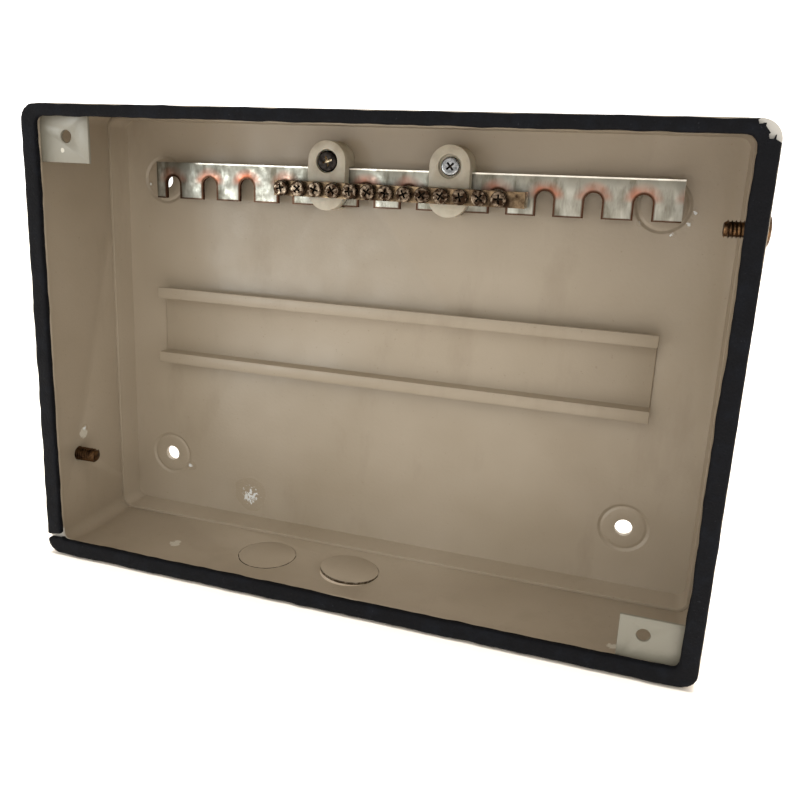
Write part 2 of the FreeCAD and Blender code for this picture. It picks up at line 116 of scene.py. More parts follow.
stage = {
    "floorSize": 7.0,  # m
    "floorColour": "#faf3ea",
    "domeRadius": 4.2,  # m
    "ambient": 1.02,
    "ambientColour": (1.0, 0.94, 0.87),
    # soft lights: place and size in m, power in W
    "key": {"place": (-0.3, -1.3, 0.8), "size": 0.45, "power": 1.2, "colour": (0.86, 0.98, 1.0)},
    "fill": {"place": (1.1, -1.15, 0.25), "size": 0.3, "power": 1.2, "colour": (0.9, 1.0, 0.96)},
    "low": {"place": (-0.62, -0.95, -0.03), "size": 0.2, "power": 2.6, "colour": (0.93, 1.0, 1.0)},
    "behind": {"place": (0.4, 1.3, 1.2), "size": 1.2, "power": 12, "colour": (1.0, 1.0, 1.0)},
    "aim": (0, -0.03, 0),  # m, where the soft lights point
    "floorLight": 3.7,
}


def linearColour(hexText):
    values = [int(hexText[i:i + 2], 16) / 255 for i in (1, 3, 5)]
    return tuple(v / 12.92 if v <= 0.04045 else ((v + 0.055) / 1.055) ** 2.4 for v in values) + (1.0,)


def addNode(tree, kind, settings=None, links=None):
    node = tree.nodes.new(kind)
    for name, value in (settings or {}).items():
        if isinstance(name, str) and hasattr(node, name):
            setattr(node, name, value)
        else:
            node.inputs[name].default_value = value
    for name, source in (links or {}).items():
        tree.links.new(source, node.inputs[name])
    return node


def addSoftLight(name, settings, target):
    data = bpy.data.lights.new(name, "AREA")
    data.shape = "DISK"
    data.size = settings["size"]
    data.energy = settings["power"]
    data.color = settings["colour"]
    light = bpy.data.objects.new(name, data)
    light.location = settings["place"]
    light.rotation_euler = (Vector(target) - light.location).to_track_quat("-Z", "Y").to_euler()
    scene.collection.objects.link(light)


def deselectAll():
    bpy.ops.object.select_all(action="DESELECT")


def chooseOnly(piece):
    deselectAll()
    piece.select_set(True)
    bpy.context.view_layer.objects.active = piece


def plainPaint(name, colour, glow=0.0):
    paint = bpy.data.materials.new(name)
    paint.use_nodes = True
    shader = paint.node_tree.nodes["Principled BSDF"]
    shader.inputs["Base Color"].default_value = linearColour(colour)
    shader.inputs["Roughness"].default_value = 0.9
    shader.inputs["Specular IOR Level"].default_value = 0.1
    shader.inputs["Emission Color"].default_value = linearColour(colour)
    shader.inputs["Emission Strength"].default_value = glow
    return paint


def addStage(settings):
    deselectAll()
    bpy.ops.mesh.primitive_plane_add(size=settings["floorSize"], location=(0, 0, cadBox[0][2] - 0.0004))
    floor = bpy.context.object
    floor.name = "floor"
    bpy.ops.object.transform_apply(location=True, rotation=False, scale=True)
    floor.data.materials.append(plainPaint("matteWhiteFloor", settings["floorColour"]))
    floor.visible_diffuse = False  # sheds no light up into the box
    # a pale dome all round, seen but shedding no light
    bpy.ops.mesh.primitive_uv_sphere_add(segments=48, ring_count=24, radius=settings["domeRadius"])
    dome = bpy.context.object
    dome.name = "paleDome"
    dome.data.materials.append(plainPaint("paleBackdrop", "#ffffff", 1.05))
    dome.visible_diffuse = dome.visible_glossy = dome.visible_transmission = dome.visible_shadow = False
    world = bpy.data.worlds.new("softRoom")
    world.use_nodes = True
    background = world.node_tree.nodes["Background"]
    background.inputs["Color"].default_value = settings["ambientColour"] + (1.0,)
    background.inputs["Strength"].default_value = settings["ambient"]
    scene.world = world
    for name in ("key", "fill", "low", "behind"):
        addSoftLight(name, settings[name], settings["aim"])
    bpy.data.objects["low"].visible_diffuse = False  # it only wakes glints in the glossy runs
    # an overhead light kept to the floor, so that it stays pale right up to the box
    data = bpy.data.lights.new("floorLight", "SUN")
    data.energy = settings["floorLight"]
    data.angle = math.radians(25)
    overhead = bpy.data.objects.new("floorLight", data)
    scene.collection.objects.link(overhead)
    floorOnly = bpy.data.collections.new("floorOnly")
    floorOnly.objects.link(floor)
    overhead.light_linking.receiver_collection = floorOnly
    scene.view_settings.view_transform = "Standard"


addCamera(camera)
addStage(stage)
print("stage and camera placed")


def newMaterial(name, colour, metallic, roughness, **sockets):
    material = bpy.data.materials.new(name)
    material.use_nodes = True
    tree = material.node_tree
    shader = tree.nodes["Principled BSDF"]
    shader.inputs["Base Color"].default_value = linearColour(colour)
    shader.inputs["Metallic"].default_value = metallic
    shader.inputs["Roughness"].default_value = roughness
    for socket, value in sockets.items():
        shader.inputs[socket.replace("_", " ")].default_value = value
    place = addNode(tree, "ShaderNodeTexCoord").outputs["Object"]
    return material, tree, shader, place


def grains(size):
    return 1 / (size * mm)  # texture scale for a grain of that many millimetres


def noiseOf(tree, place, size, detail=2.0, roughness=0.5, stretch=None):
    if stretch:
        place = addNode(tree, "ShaderNodeMapping", {"Scale": stretch}, {"Vector": place}).outputs[0]
    settings = {"Scale": grains(size), "Detail": detail, "Roughness": roughness}
    return addNode(tree, "ShaderNodeTexNoise", settings, {"Vector": place}).outputs["Fac"]


def rampOf(tree, value, low, high, toLow=0.0, toHigh=1.0):
    settings = {"From Min": low, "From Max": high, "To Min": toLow, "To Max": toHigh}
    return addNode(tree, "ShaderNodeMapRange", settings, {"Value": value}).outputs[0]


def mixColours(tree, share, first, second):
    node = addNode(tree, "ShaderNodeMixRGB", links={"Fac": share})
    for socket, colour in (("Color1", first), ("Color2", second)):
        if isinstance(colour, str):
            node.inputs[socket].default_value = linearColour(colour)
        else:
            tree.links.new(colour, node.inputs[socket])
    return node.outputs["Color"]


def sumOf(tree, first, second, operation="ADD"):
    node = addNode(tree, "ShaderNodeMath", {"operation": operation})
    for index, value in enumerate((first, second)):
        if value is None:
            continue
        if isinstance(value, (int, float)):
            node.inputs[index].default_value = value
        else:
            tree.links.new(value, node.inputs[index])
    return node.outputs[0]


def nearTo(tree, place, centre, reach, fade=0.5):
    # 1 within reach millimetres of a point, falling to 0 outside it
    settings = {"operation": "DISTANCE", 1: Vector(centre) * mm}
    away = addNode(tree, "ShaderNodeVectorMath", settings, {0: place})
    return rampOf(tree, away.outputs["Value"], reach * mm, reach * fade * mm)


def bumped(tree, shader, height, depth):
    bump = addNode(tree, "ShaderNodeBump", {"Distance": depth * mm}, {"Height": height})
    tree.links.new(bump.outputs[0], shader.inputs["Normal"])


# polyester powder coat on steel: pebble grey, semi-gloss, with orange peel that breaks up reflections
powderCoat = {
    "colour": "#b2a694", "deeper": "#a59884", "roughness": 0.42,
    # the glint colour paints highlights on the runs, and the pale colour paints highlight spots
    "dust": "#857560", "highlightPale": "#d9d5c8", "kept": "#d6d3cc", "paintedGlintColour": "#f4f8fa",
    "cloud": 85, "streak": 22, "peel": 1.5, "fineFlow": 0.95, "peelDepth": 0.05,  # mm
    "runRoughness": 0.34,  # taken off the roughness where the coat ran
    # heavy glossy ripples, where the coat ran together, with painted glints on their crests: middle and reach
    # in mm
    "runs": [((-64, -2.7, -80), 13), ((-96, -2.7, -70), 4.5), ((-127, -40, -44), 4),
             ((-114.8, -2.7, 62.8), 2.6), ((98.9, -2.7, 58.2), 2.6), ((110.7, -2.7, 54.9), 2.6),
             ((115.9, -2.7, 58.7), 2.4), ((117.7, -2.7, 63), 2.4)],
    # clean coat that the foam had covered
    "clean": [((133, -63.2, 89.5), 8), ((-126, -63.2, -87), 7)],
    # pale spots painted where highlights fall on the coat
    "paintedHighlightSpots": [((-82, -40, -91.3), 5), ((-127, -41, -46), 4.5), ((107, -50, -91.3), 4),
               ((-112.5, -62, 75.5), 1.6)],
}


def spotsOf(tree, place, spots, fade):
    # 1 in every spot, and 0 away from them all
    total = None
    for centre, reach in spots:
        spot = nearTo(tree, place, centre, reach, fade)
        total = spot if total is None else sumOf(tree, total, spot, "MAXIMUM")
    return total


def makePowderCoat(name, look):
    material, tree, shader, place = newMaterial(name, look["colour"], 0, look["roughness"], IOR=1.5)
    cloud = rampOf(tree, noiseOf(tree, place, look["cloud"], 3, 0.55), 0.35, 0.68)
    colour = mixColours(tree, cloud, look["colour"], look["deeper"])
    streaks = rampOf(tree, noiseOf(tree, place, look["streak"], 5, 0.65, (1, 1, 0.35)), 0.56, 0.75, 0, 0.25)
    colour = mixColours(tree, streaks, colour, look["dust"])
    specks = rampOf(tree, noiseOf(tree, place, 1.4, 2, 0.6), 0.69, 0.74, 0, 0.35)
    colour = mixColours(tree, specks, colour, look["dust"])
    # noise gives the painted highlight spots a ragged edge
    ragged = noiseOf(tree, place, 2.2, 3, 0.6)
    paintedHighlightSpots = sumOf(tree, spotsOf(tree, place, look["paintedHighlightSpots"], 0.2), ragged, "MULTIPLY")
    colour = mixColours(tree, rampOf(tree, paintedHighlightSpots, 0.27, 0.34, 0, 0.9), colour, look["highlightPale"])
    colour = mixColours(tree, spotsOf(tree, place, look["clean"], 0.9), colour, look["kept"])
    runs = spotsOf(tree, place, look["runs"], 0.15)
    # painted glints: near-white colour on the crests of the ripples in a run, standing in for highlights
    paintedGlints = sumOf(tree, runs, noiseOf(tree, place, look["peel"], 2, 0.6), "MULTIPLY")
    colour = mixColours(tree, rampOf(tree, paintedGlints, 0.44, 0.5, 0, 0.9), colour, look["paintedGlintColour"])
    tree.links.new(colour, shader.inputs["Base Color"])
    smooth, dry = look["roughness"] - 0.05, look["roughness"] + 0.07
    rough = rampOf(tree, noiseOf(tree, place, 16, 3), 0.3, 0.7, smooth, dry)
    rough = sumOf(tree, rough, sumOf(tree, runs, look["runRoughness"], "MULTIPLY"), "SUBTRACT")
    tree.links.new(rough, shader.inputs["Roughness"])
    peel = noiseOf(tree, place, look["peel"], 1.5)
    deeper = rampOf(tree, runs, 0, 1, 0.3, 3)
    fine = sumOf(tree, noiseOf(tree, place, look["fineFlow"], 1), deeper, "MULTIPLY")
    bumped(tree, shader, sumOf(tree, peel, fine), look["peelDepth"])
    return material


# the lugs get a cooler and slightly darker grey than the box
lugCoat = dict(powderCoat, colour="#918e82", deeper="#868376", roughness=0.38)

# closed-cell rubber foam: black, matt and slightly porous, with pale dust rubbed into it
foam = {
    "colour": "#07080d", "dust": "#151921", "lint": "#35373c", "roughness": 0.8,
    "cell": 0.9, "cellDepth": 0.12,  # mm
}


def makeFoam(look):
    material, tree, shader, place = newMaterial("closedCellFoamRubber", look["colour"], 0, look["roughness"],
                                                IOR=1.5, Specular_IOR_Level=0.15)
    dusty = rampOf(tree, noiseOf(tree, place, 7, 4, 0.65), 0.48, 0.72, 0, 0.5)
    colour = mixColours(tree, dusty, look["colour"], look["dust"])
    lint = rampOf(tree, noiseOf(tree, place, 0.9, 2), 0.7, 0.78, 0, 0.5)
    colour = mixColours(tree, lint, colour, look["lint"])
    tree.links.new(colour, shader.inputs["Base Color"])
    cells = addNode(tree, "ShaderNodeTexVoronoi", {"Scale": grains(look["cell"])}, {"Vector": place})
    crumple = sumOf(tree, noiseOf(tree, place, 3.5, 3), 2.5, "MULTIPLY")
    bumped(tree, shader, sumOf(tree, cells.outputs["Distance"], crumple), look["cellDepth"])
    return material


# comb busbar, in mm before it leans; its coating is drawn round the same notches
comb = {
    "left": -106.7, "length": 220.0, "low": 58.0, "high": 73.4,
    "front": -8.85, "thick": 1.5,
    "pitch": 18.0, "firstNotch": -98.6, "notchHalf": 3.3, "notchTop": 67.5, "ways": 12,
    "pivot": -36.2, "lean": 0.5,  # degrees, right end up
    "ripple": (8, 0.45),  # wavelength and depth of the dents in its teeth
}

# tinned copper strip: pale, lightly dished tin, with pink copper, painted shade in brown round each notch and
# along its bottom edge, painted shade over its upper half and a painted highlight along its top edge
tin = {
    "colour": "#9b9b94", "dull": "#625f55", "copper": "#95553d", "topHighlight": "#dedbd2", "rim": "#3f2b20",
    "roughness": 0.36, "streak": 5, "dish": 0.3,  # mm
    "shade": (66.5, 73),  # mm, heights between which painted shade darkens it
    "highlightFrom": -88,  # mm, where the painted highlight on its top edge starts
    "rimTo": 8,  # mm past the last notch where the painted shade rims end
}


def makeTin(look, strip):
    material, tree, shader, place = newMaterial("tinnedCopper", look["colour"], 1, look["roughness"])
    pivot = Vector((strip["pivot"], 0, strip["low"])) * mm
    upright = {"rotation_type": "Y_AXIS", "Center": pivot, "Angle": math.radians(strip["lean"])}
    level = addNode(tree, "ShaderNodeVectorRotate", upright, {"Vector": place}).outputs[0]
    split = addNode(tree, "ShaderNodeSeparateXYZ", links={0: level})
    along, height = split.outputs["X"], split.outputs["Z"]
    # how far across from the nearest notch, above its arch, and out from its edge
    across = sumOf(tree, along, (strip["firstNotch"] - strip["pitch"] / 2) * mm, "SUBTRACT")
    across = sumOf(tree, across, strip["pitch"] * mm, "FLOORED_MODULO")
    across = sumOf(tree, across, strip["pitch"] / 2 * mm, "SUBTRACT")
    above = sumOf(tree, height, (strip["notchTop"] - strip["notchHalf"]) * mm, "SUBTRACT")
    above = sumOf(tree, above, 0.0, "MAXIMUM")
    reach = sumOf(tree, sumOf(tree, across, across, "MULTIPLY"), sumOf(tree, above, above, "MULTIPLY"))
    out = sumOf(tree, sumOf(tree, reach, 0.5, "POWER"), strip["notchHalf"] * mm, "SUBTRACT")
    # dull streaks, and painted shade over the upper half
    dull = rampOf(tree, noiseOf(tree, place, look["streak"], 4, 0.6, (1, 1, 0.3)), 0.35, 0.65)
    shaded = rampOf(tree, height, look["shade"][0] * mm, look["shade"][1] * mm, 0, 0.75)
    colour = mixColours(tree, sumOf(tree, dull, shaded, "MAXIMUM"), look["colour"], look["dull"])
    # copper showing over each arch, where the tin has worn
    worn = rampOf(tree, noiseOf(tree, place, 16, 3, 0.6), 0.38, 0.58, 0.35, 1)
    stained = rampOf(tree, out, 4.6 * mm, 0.9 * mm)
    stained = sumOf(tree, stained, rampOf(tree, above, 0, 2.4 * mm), "MULTIPLY")
    colour = mixColours(tree, sumOf(tree, stained, worn, "MULTIPLY"), colour, look["copper"])
    # painted shade, in the brown of oxidised copper, round the rolled edges of the notches and along the bottom
    # edge
    rimEnd = strip["firstNotch"] + (strip["ways"] - 1) * strip["pitch"] + look["rimTo"]
    rim = sumOf(tree, rampOf(tree, out, 1.25 * mm, 0.55 * mm),
                rampOf(tree, along, rimEnd * mm, (rimEnd - 1) * mm), "MULTIPLY")
    # painted shade: a dark line along the bottom edge
    bottom = rampOf(tree, height, (strip["low"] + 0.8) * mm, (strip["low"] + 0.35) * mm)
    colour = mixColours(tree, sumOf(tree, rim, bottom, "MAXIMUM"), colour, look["rim"])
    # painted highlight: a pale line along the top edge
    paintedTopHighlight = sumOf(tree, rampOf(tree, height, (strip["high"] - 0.7) * mm, (strip["high"] - 0.45) * mm),
                      rampOf(tree, along, look["highlightFrom"] * mm, (look["highlightFrom"] + 2) * mm), "MULTIPLY")
    colour = mixColours(tree, paintedTopHighlight, colour, look["topHighlight"])
    tree.links.new(colour, shader.inputs["Base Color"])
    polished, matt = look["roughness"] - 0.08, look["roughness"] + 0.16
    rough = rampOf(tree, noiseOf(tree, place, 3, 4), 0.3, 0.7, polished, matt)
    tree.links.new(rough, shader.inputs["Roughness"])
    # every tooth stands a little proud between its notches
    crown = sumOf(tree, sumOf(tree, across, math.tau / strip["pitch"] / mm, "MULTIPLY"), None, "COSINE")
    dents = noiseOf(tree, place, 6, 3, 0.5, (1, 1, 0.5))
    bumped(tree, shader, sumOf(tree, dents, sumOf(tree, crown, -0.6, "MULTIPLY")), look["dish"])
    return material


def makeMetal(name, look):
    # bare or plated metal with patches of tarnish and fine marks
    material, tree, shader, place = newMaterial(name, look["colour"], 1, look["roughness"])
    low, high = look.get("tarnished", (0.4, 0.65))  # a lower pair spreads the tarnish
    tarnish = rampOf(tree, noiseOf(tree, place, look["patch"], 4, 0.62), low, high)
    colour = mixColours(tree, tarnish, look["colour"], look["tarnish"])
    tree.links.new(colour, shader.inputs["Base Color"])
    polished, matt = look["roughness"] - 0.08, look["roughness"] + 0.14
    rough = rampOf(tree, noiseOf(tree, place, look["patch"] / 2, 3), 0.3, 0.7, polished, matt)
    tree.links.new(rough, shader.inputs["Roughness"])
    bumped(tree, shader, noiseOf(tree, place, look["mark"], 3), look["markDepth"])
    return material


# each metal has a colour, its tarnish, and its patches, marks and mark depth in mm
metals = {
    # copper bared by the punch: dark brown and dry
    "oxidisedCopperEdge": {"colour": "#5c3d2a", "tarnish": "#2c1d15", "roughness": 0.5,
                           "patch": 3, "mark": 0.6, "markDepth": 0.04},
    # turned and drilled brass, aged: dull brown with darker patches
    "machinedBrass": {"colour": "#75644f", "tarnish": "#33261c", "roughness": 0.38,
                      "patch": 3.5, "mark": 0.5, "markDepth": 0.03},
    # fresh saw cut across brass: pale, with fine marks
    "sawnBrassEnd": {"colour": "#d4ccb8", "tarnish": "#a3977c", "roughness": 0.33,
                     "patch": 2, "mark": 0.35, "markDepth": 0.04},
    # nickel plate worn through to brass: glints among dark brown tarnish
    "nickelledBrassScrew": {"colour": "#7f7162", "tarnish": "#251a12", "roughness": 0.25,
                            "patch": 1.8, "tarnished": (0.34, 0.54), "mark": 0.4, "markDepth": 0.03},
    # bright zinc plate: cool, clean glints
    "brightZinc": {"colour": "#a9acb0", "tarnish": "#5f6265", "roughness": 0.22,
                   "patch": 2.5, "mark": 0.4, "markDepth": 0.02},
    # yellow passivated zinc, rusting: warm brown
    "yellowZinc": {"colour": "#6d533a", "tarnish": "#2f2118", "roughness": 0.36,
                   "patch": 2.4, "mark": 0.4, "markDepth": 0.03},
    # blackened steel: near black with a soft sheen
    "blackOxideSteel": {"colour": "#2a2624", "tarnish": "#120f0e", "roughness": 0.34,
                        "patch": 2, "mark": 0.4, "markDepth": 0.02},
    # steel rubbed bare by the driver: dull gold
    "wornSteel": {"colour": "#b9ab92", "tarnish": "#5c4c3a", "roughness": 0.34,
                  "patch": 1.2, "mark": 0.3, "markDepth": 0.02},
    # dirt and painted shade down in a recess
    "darkSlit": {"colour": "#2e2720", "tarnish": "#14100c", "roughness": 0.6,
                 "patch": 1.6, "mark": 0.3, "markDepth": 0.03},
    # sheet steel sheared by the punch: bare grey with brown spots
    "shearedSteel": {"colour": "#a79e90", "tarnish": "#51463a", "roughness": 0.4,
                     "patch": 1.6, "mark": 0.3, "markDepth": 0.03},
}

# moulded ivory nylon: softly shiny, a little see-through at its edges, with faint dirt
nylon = {"colour": "#c9c1ae", "dirt": "#8e8068", "roughness": 0.42}


def makeNylon(look):
    material, tree, shader, place = newMaterial("mouldedIvoryNylon", look["colour"], 0, look["roughness"],
                                                IOR=1.53, Subsurface_Weight=0.12, Subsurface_Scale=0.0015)
    dirt = rampOf(tree, noiseOf(tree, place, 6, 4, 0.6), 0.45, 0.75, 0, 0.45)
    tree.links.new(mixColours(tree, dirt, look["colour"], look["dirt"]), shader.inputs["Base Color"])
    bumped(tree, shader, noiseOf(tree, place, 0.7, 3), 0.02)
    return material


coat = makePowderCoat("powderCoatedSteel", powderCoat)
lugPaint = makePowderCoat("powderCoatedLug", lugCoat)
rubber = makeFoam(foam)
tinned = makeTin(tin, comb)
ivory = makeNylon(nylon)
metal = {name: makeMetal(name, look) for name, look in metals.items()}
print("materials made")


mergeReach = 0.002  # mm, within which doubled points are one


def enterEdit(piece, part="FACE"):
    chooseOnly(piece)
    bpy.ops.object.mode_set(mode="EDIT")
    bpy.ops.mesh.select_mode(type=part)


def leaveEdit():
    bpy.ops.object.mode_set(mode="OBJECT")


def pick(part, test):
    # in edit mode, selects the faces, edges or verts for which test(middle, direction) holds
    shape = bmesh.from_edit_mesh(bpy.context.edit_object.data)
    bpy.ops.mesh.select_all(action="DESELECT")
    if part == "FACE":
        for face in shape.faces:
            if test(face.calc_center_median(), face.normal):
                face.select_set(True)
    elif part == "EDGE":
        for edge in shape.edges:
            ends = [v.co for v in edge.verts]
            if test((ends[0] + ends[1]) / 2, (ends[1] - ends[0]).normalized()):
                edge.select_set(True)
    else:
        for vert in shape.verts:
            if test(vert.co, None):
                vert.select_set(True)
    shape.select_flush_mode()
    bmesh.update_edit_mesh(bpy.context.edit_object.data)


def applied(piece, kind, **settings):
    chooseOnly(piece)
    modifier = piece.modifiers.new(kind.title(), kind)
    for name, value in settings.items():
        setattr(modifier, name, value)
    bpy.ops.object.modifier_apply(modifier=modifier.name)


def fixPlace(piece):
    chooseOnly(piece)
    bpy.ops.object.transform_apply(location=True, rotation=True, scale=True)


def smoothShaded(piece, degrees=35):
    chooseOnly(piece)
    bpy.ops.object.shade_smooth_by_angle(angle=math.radians(degrees))


def outwards(piece):
    enterEdit(piece)
    bpy.ops.mesh.select_all(action="SELECT")
    bpy.ops.mesh.remove_doubles(threshold=mergeReach * mm)
    bpy.ops.mesh.normals_make_consistent(inside=False)
    leaveEdit()


def rod(name, radius, length, middle, axis, sides=32):
    deselectAll()
    turns = {"X": (0, math.radians(90), 0), "Y": (math.radians(90), 0, 0), "Z": (0, 0, 0)}
    bpy.ops.mesh.primitive_cylinder_add(vertices=sides, radius=radius * mm, depth=length * mm,
                                        rotation=turns[axis], location=Vector(middle) * mm)
    piece = bpy.context.object
    piece.name = piece.data.name = name
    fixPlace(piece)
    return piece


def block(name, sizes, middle):
    deselectAll()
    bpy.ops.mesh.primitive_cube_add(size=mm, scale=sizes, location=Vector(middle) * mm)
    piece = bpy.context.object
    piece.name = piece.data.name = name
    fixPlace(piece)
    return piece


def joined(pieces):
    deselectAll()
    for piece in pieces:
        piece.select_set(True)
    bpy.context.view_layer.objects.active = pieces[0]
    bpy.ops.object.join()
    return pieces[0]


def cut(piece, cutter, operation="DIFFERENCE"):
    applied(piece, "BOOLEAN", object=cutter, operation=operation, solver="EXACT", use_self=True)
    bpy.data.objects.remove(cutter)


def copyOfNode(node, name):
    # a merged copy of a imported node, with flat faces made whole again
    piece = nodes[node].copy()
    piece.data = piece.data.copy()
    piece.name = piece.data.name = name
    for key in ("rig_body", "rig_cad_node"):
        if key in piece:
            del piece[key]
    piece.parent = None
    piece.data.materials.clear()
    scene.collection.objects.link(piece)
    chooseOnly(piece)
    if piece.data.has_custom_normals:
        bpy.ops.mesh.customdata_custom_splitnormals_clear()
    enterEdit(piece)
    bpy.ops.mesh.select_all(action="SELECT")
    bpy.ops.mesh.remove_doubles(threshold=mergeReach * mm)
    bpy.ops.mesh.dissolve_limited(angle_limit=math.radians(0.8))
    leaveEdit()
    return piece


def softened(node, name, material, width=0.3, segments=2, angle=40):
    piece = copyOfNode(node, name)
    applied(piece, "BEVEL", width=width * mm, segments=segments, limit_method="ANGLE",
            angle_limit=math.radians(angle), harden_normals=False)
    smoothShaded(piece)
    piece.data.materials.append(material)
    return piece


def finishPiece(piece, body, slot, *replaced):
    piece.vertex_groups.clear()
    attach(piece, body)
    if replaced:
        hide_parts(*replaced)


def facesTo(piece, material, test):
    # gives another material to the faces for which test(middle, normal) holds
    piece.data.materials.append(material)
    index = len(piece.data.materials) - 1
    for face in piece.data.polygons:
        if test(face.center, face.normal):
            face.material_index = index


# pieces of sheet metal. node: name, coat, rounding of its edges in mm
sheetMetal = {
    "wall_wrap": ("boxWalls", coat, 0.3),
    "din_rail": ("dinRail", coat, 0.42),
    "cover_lug_top_left": ("coverLugTopLeft", lugPaint, 0.3),
    "cover_lug_bottom_right": ("coverLugBottomRight", lugPaint, 0.3),
}
# the mouth's upper edge, which is drawn up behind the foam, in mm
mouth = {"behind": -61.7, "across": (-122.6, 130.2), "high": (83.9, 87), "drawnUp": 1.6}


def isUpperMouth(at):
    left, right = mouth["across"]
    low, high = mouth["high"]
    return at.y < mouth["behind"] * mm and low * mm < at.z < high * mm and left * mm < at.x < right * mm


for node, (name, paint, width) in sheetMetal.items():
    piece = softened(node, name, paint, width)
    if node == "wall_wrap":
        enterEdit(piece, "VERT")
        pick("VERT", lambda at, _: isUpperMouth(at))
        bpy.ops.transform.translate(value=(0, 0, mouth["drawnUp"] * mm))
        leaveEdit()
    finishPiece(piece, "box", "powder_coat", node)

# back tray, in mm
tray = {
    "rounding": 0.4,
    "hem": 0.95, "hemLine": -15.2,  # the paint runs smoothly off the inner edge of its hem
    # wall holes, and the pressed feet round them, which the paint has partly filled
    "hole": (106.5, 65), "footFloor": (-1.3, -1.1), "filled": -1.15, "footBend": 0.9, "footReach": (5, 12),
    "footRadius": 9,
}


def fromHole(at):
    return math.hypot(abs(at.x) - tray["hole"][0] * mm, abs(at.z) - tray["hole"][1] * mm)


def makeTray(size):
    panel = copyOfNode("back_panel", "backTray")
    low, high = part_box("back_panel")
    enterEdit(panel, "EDGE")
    pick("EDGE", lambda middle, along: middle.y < size["hemLine"] * mm and abs(along.y) < 0.1
         and low.x + mm < middle.x < high.x - mm and low.z + mm < middle.z < high.z - mm)
    bpy.ops.mesh.bevel(offset=size["hem"] * mm, segments=4, clamp_overlap=True)
    bpy.ops.mesh.select_mode(type="VERT")
    pick("VERT", lambda at, _: fromHole(at) < size["footRadius"] * mm
         and size["footFloor"][0] * mm < at.y < size["footFloor"][1] * mm)
    bpy.ops.transform.translate(value=(0, size["filled"] * mm, 0))
    bpy.ops.mesh.select_mode(type="EDGE")
    pick("EDGE", lambda middle, along: size["footReach"][0] * mm < fromHole(middle) < size["footReach"][1] * mm)
    bpy.ops.mesh.bevel(offset=size["footBend"] * mm, segments=4, clamp_overlap=True)
    leaveEdit()
    applied(panel, "BEVEL", width=size["rounding"] * mm, segments=3, limit_method="ANGLE",
            angle_limit=math.radians(30))
    smoothShaded(panel)
    panel.data.materials.append(coat)
    return panel


finishPiece(makeTray(tray), "box", "powder_coat", "back_panel")

# knock-outs. node: name, body, rounding of its edge in mm
knockouts = {
    "knockout_bottom_left": ("knockoutBottomLeft", "box", 0.9),
    "knockout_top_left": ("knockoutTopLeft", "box", 0.3),
    "knockout_top_right": ("knockoutTopRight", "box", 0.3),
    "knockout_bottom_right": ("knockoutBottomRight", "struck_disc", 0.3),
}
slitFrom = 3  # mm in front of its middle, from where the slit round the left one is painted dark, as shade

for node, (name, body, width) in knockouts.items():
    disc = softened(node, name, coat, width)
    front = sum(corner.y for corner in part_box(node)) / 2 - slitFrom * mm
    facesTo(disc, metal["shearedSteel"], lambda middle, normal: abs(normal.z) < 0.5)
    if node == "knockout_bottom_left":
        # painted shade in the front part of the slit
        facesTo(disc, metal["darkSlit"], lambda middle, normal: abs(normal.z) < 0.95 and middle.y < front)
    finishPiece(disc, body, "powder_coat", node)
print("sheet metal done")


# foam gasket on the front lip, in mm
gasket = {
    "width": 6, "deepest": 14,  # its strips' width, and how far in their inner edges are looked for
    "voxel": 0.8,  # size of the foam's surface net
    "rounding": 5,  # smoothing passes on the cut edges
    "spread": 0.9,  # that its inner edge creeps over the lip
    "topDraw": 1.0,  # that the top strip's inner edge has drawn back
    # torn bites out of the top right corner: across, up, radius, and sides
    "bites": ((133.8, 90.9, 3.4, 7), (130.8, 92.3, 1.7, 5), (135.5, 87.6, 2.1, 6), (129.2, 91.4, 0.9, 5),
              (132.6, 87.5, 1.1, 5)),
    "crumple": (9, 0.7),  # wavelength and height
    "innerWave": (34, 0.9),
    "jointReach": 4.0,  # that the side strips tuck under the top and bottom ones
    "cornerReach": 6.0,  # that the left strip runs on into the bottom corner
    "cornerCut": 7.2,  # that the bottom strip is cut down there, which leaves a gap
}
gasketNames = {
    "gasket_top": "gasketTop",
    "gasket_bottom": "gasketBottom",
    "gasket_left": "gasketLeft",
    "gasket_right": "gasketRight",
}


def cloudTexture(name, size, depth=1):
    texture = bpy.data.textures.new(name, "CLOUDS")
    texture.noise_scale = size * mm
    texture.noise_depth = depth
    return texture


crumpleTexture = cloudTexture("foamCrumple", gasket["crumple"][0])
waveTexture = cloudTexture("foamWave", gasket["innerWave"][0])
ringLow = Vector((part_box("gasket_left")[0].x, 0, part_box("gasket_bottom")[0].z))
ringHigh = Vector((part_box("gasket_right")[1].x, 0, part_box("gasket_top")[1].z))
ringWidth = gasket["width"] * mm


def slide(piece, test, by):
    enterEdit(piece, "VERT")
    pick("VERT", lambda at, _: test(at))
    bpy.ops.transform.translate(value=Vector(by) * mm)
    leaveEdit()


def spreadInwards(strip):
    # each inner edge of the ring moves over the lip by the same amount
    edge, creep, deep = 0.3 * mm, gasket["spread"], gasket["deepest"] * mm
    left, right = ringLow.x + ringWidth, ringHigh.x - ringWidth
    bottom, top = ringLow.z + ringWidth, ringHigh.z - ringWidth
    slide(strip, lambda at: left - edge < at.x < 0 and bottom - edge < at.z < top + edge, (creep, 0, 0))
    slide(strip, lambda at: 0 < at.x < right + edge and bottom - edge < at.z < top + edge, (-creep, 0, 0))
    slide(strip, lambda at: bottom - edge < at.z < ringLow.z + deep - edge
          and left - edge < at.x < right + edge, (0, 0, creep))
    slide(strip, lambda at: ringHigh.z - deep + edge < at.z < top + edge
          and left - edge < at.x < right + edge, (0, 0, gasket["topDraw"]))


